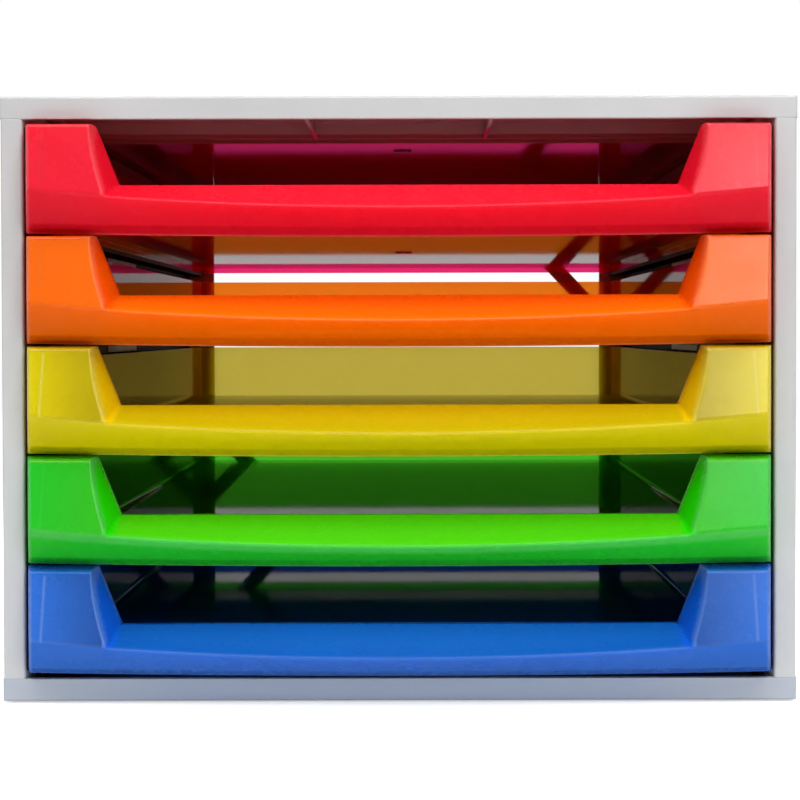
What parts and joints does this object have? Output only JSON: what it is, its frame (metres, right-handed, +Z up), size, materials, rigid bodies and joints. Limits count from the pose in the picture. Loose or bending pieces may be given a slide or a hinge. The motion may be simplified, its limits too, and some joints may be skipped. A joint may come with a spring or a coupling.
{
  "type": "desktop drawer tower",
  "caption": "Desktop drawer tower: translucent coloured trays with bowed finger-pull fronts slide on rails in a light grey open-backed case.",
  "frame": {"origin": "middle of the footprint, noses of the drawers included, on the surface that the feet stand on", "axes": "+X to the right seen from the front, the drawers open towards -Y, +Z up"},
  "size_m": [0.2874, 0.3468, 0.2193],
  "materials": {
    "case_plastic": "fine satin, light grey",
    "rail_plastic": "satin black",
    "foot_rubber": "soft matt",
    "blue_plastic": "clear translucent blue, gloss outside and lightly frosted walls",
    "green_plastic": "clear translucent green, gloss outside and lightly frosted walls",
    "yellow_plastic": "clear translucent yellow, gloss outside and lightly frosted walls",
    "orange_plastic": "clear translucent orange, gloss outside and lightly frosted walls",
    "red_plastic": "clear translucent red, gloss outside and lightly frosted walls"
  },
  "bodies": {
    "case": {"base_panel": "case_plastic", "top_panel": "case_plastic", "left_side_panel": "case_plastic", "right_side_panel": "case_plastic", "left_corner_brace": "case_plastic", "right_corner_brace": "case_plastic", "foot_front_left": "foot_rubber", "foot_front_right": "foot_rubber", "foot_rear_left": "foot_rubber", "foot_rear_right": "foot_rubber", "rail_left_1": "rail_plastic", "rail_left_2": "rail_plastic", "rail_left_3": "rail_plastic", "rail_left_4": "rail_plastic", "rail_left_5": "rail_plastic", "rail_right_1": "rail_plastic", "rail_right_2": "rail_plastic", "rail_right_3": "rail_plastic", "rail_right_4": "rail_plastic", "rail_right_5": "rail_plastic"},
    "drawer_blue": {"drawer_blue": "blue_plastic"},
    "drawer_green": {"drawer_green": "green_plastic"},
    "drawer_yellow": {"drawer_yellow": "yellow_plastic"},
    "drawer_orange": {"drawer_orange": "orange_plastic"},
    "drawer_red": {"drawer_red": "red_plastic"}
  },
  "joints": [
    {"name": "drawer_blue_slide", "type": "slide", "parent": "case", "child": "drawer_blue", "axis": [0, -1, 0], "range_m": [0, 0.25]},
    {"name": "drawer_green_slide", "type": "slide", "parent": "case", "child": "drawer_green", "axis": [0, -1, 0], "range_m": [0, 0.25]},
    {"name": "drawer_yellow_slide", "type": "slide", "parent": "case", "child": "drawer_yellow", "axis": [0, -1, 0], "range_m": [0, 0.25]},
    {"name": "drawer_orange_slide", "type": "slide", "parent": "case", "child": "drawer_orange", "axis": [0, -1, 0], "range_m": [0, 0.25]},
    {"name": "drawer_red_slide", "type": "slide", "parent": "case", "child": "drawer_red", "axis": [0, -1, 0], "range_m": [0, 0.25]}
  ]
}
